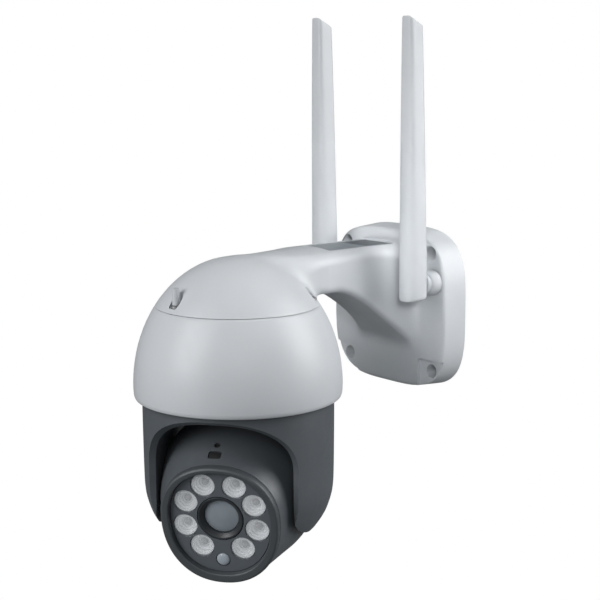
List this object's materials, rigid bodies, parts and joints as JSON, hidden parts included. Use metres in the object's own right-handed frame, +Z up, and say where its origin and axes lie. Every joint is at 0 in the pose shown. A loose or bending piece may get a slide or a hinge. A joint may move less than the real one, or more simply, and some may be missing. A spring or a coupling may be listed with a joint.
{
  "type": "wall-mounted pan and tilt camera",
  "caption": "Wall-mounted pan and tilt security camera: white dome on a bracket arm, grey yoke, swivelling head with lens and infrared lamps, two folding antennas.",
  "frame": {"origin": "middle of the flat face that lies on the wall", "axes": "+Z up, +Y into the wall, +X to the right as seen from in front of the camera"},
  "size_m": [0.108, 0.174, 0.283],
  "materials": {
    "shell_white": "satin",
    "shell_grey": "satin",
    "panel_grey": "gloss",
    "lens_glass": "polished",
    "led_clear": "polished",
    "rubber_black": "matte",
    "steel": "satin",
    "board_green": "satin",
    "acetal": "satin",
    "label_grey": "satin"
  },
  "bodies": {
    "bracket": {"bracket_shell": "shell_white", "dome_skirt": "shell_white", "base_back_plate": "shell_white", "base_gasket": "rubber_black", "cable_grommet": "rubber_black", "data_plate": "label_grey", "pan_chassis": "shell_white", "pan_motor": "steel", "pan_bush": "acetal", "main_board": "board_green", "wifi_module": "steel", "cap_screw_1": "steel", "cap_screw_2": "steel", "cap_screw_3": "steel", "chassis_screw_1": "steel", "chassis_screw_2": "steel", "chassis_screw_3": "steel", "plate_screw_1": "steel", "plate_screw_2": "steel", "plate_screw_3": "steel", "plate_screw_4": "steel", "antenna_left_bush": "acetal", "antenna_right_bush": "acetal"},
    "yoke": {"yoke_shell": "shell_grey", "yoke_liner_left": "shell_grey", "yoke_liner_right": "shell_grey", "pan_gear": "acetal", "pan_shaft": "acetal", "pan_retaining_ring": "steel", "tilt_bush_right": "acetal", "tilt_shaft": "acetal", "tilt_gear": "acetal"},
    "head": {"head_shell": "shell_grey", "front_bezel": "shell_grey", "face_plate": "panel_grey", "led_board": "board_green", "lens_barrel": "panel_grey", "lens_glass": "lens_glass", "lens_group": "lens_glass", "light_sensor": "lens_glass", "image_board": "board_green", "tilt_motor": "steel", "tilt_bush_left": "acetal", "tilt_hub": "acetal", "card_slot_plug": "rubber_black", "led_lens_1": "led_clear", "led_lens_2": "led_clear", "led_lens_3": "led_clear", "led_lens_4": "led_clear", "led_lens_5": "led_clear", "led_lens_6": "led_clear", "led_lens_7": "led_clear", "led_lens_8": "led_clear"},
    "antenna_left_arm": {"antenna_left": "shell_white", "antenna_left_knuckle": "shell_white"},
    "antenna_right_arm": {"antenna_right": "shell_white", "antenna_right_knuckle": "shell_white"},
    "pan_pinion_shaft": {"pan_pinion": "acetal"},
    "tilt_pinion_shaft": {"tilt_pinion": "acetal"},
    "reset_key": {"reset_button": "rubber_black"}
  },
  "joints": [
    {"name": "pan", "type": "hinge", "parent": "bracket", "child": "yoke", "pos_m": [0, -0.12, -0.0348], "axis": [0, 0, 1], "range_deg": [-214.8, 140.2]},
    {"name": "tilt", "type": "hinge", "parent": "yoke", "child": "head", "pos_m": [0, -0.12, -0.0831], "axis": [0.7955, 0.606, 0], "range_deg": [-10.7, 79.3]},
    {"name": "antenna_left_swing", "type": "hinge", "parent": "bracket", "child": "antenna_left_arm", "pos_m": [-0.036, -0.025, 0.0172], "axis": [0, 1, 0], "range_deg": [-180, 12]},
    {"name": "antenna_right_swing", "type": "hinge", "parent": "bracket", "child": "antenna_right_arm", "pos_m": [0.036, -0.025, 0.0172], "axis": [0, 1, 0], "range_deg": [-12, 180]},
    {"name": "pan_pinion_spin", "type": "hinge", "parent": "bracket", "child": "pan_pinion_shaft", "pos_m": [0, -0.0896, -0.0288], "axis": [0, 0, 1], "range_deg": [-530, 810]},
    {"name": "tilt_pinion_spin", "type": "hinge", "parent": "head", "child": "tilt_pinion_shaft", "pos_m": [-0.03172, -0.12672, -0.09257], "axis": [0.7955, 0.606, 0], "range_deg": [-20, 131]},
    {"name": "reset_press", "type": "slide", "parent": "head", "child": "reset_key", "axis": [-0.3583, 0.4704, -0.8065], "range_m": [0, 0.0006], "stiffness_N_per_m": 300}
  ],
  "couplings": [
    {"joint": "pan_pinion_spin", "follows": "pan", "ratio": -3.75},
    {"joint": "tilt_pinion_spin", "follows": "tilt", "ratio": 1.625}
  ]
}
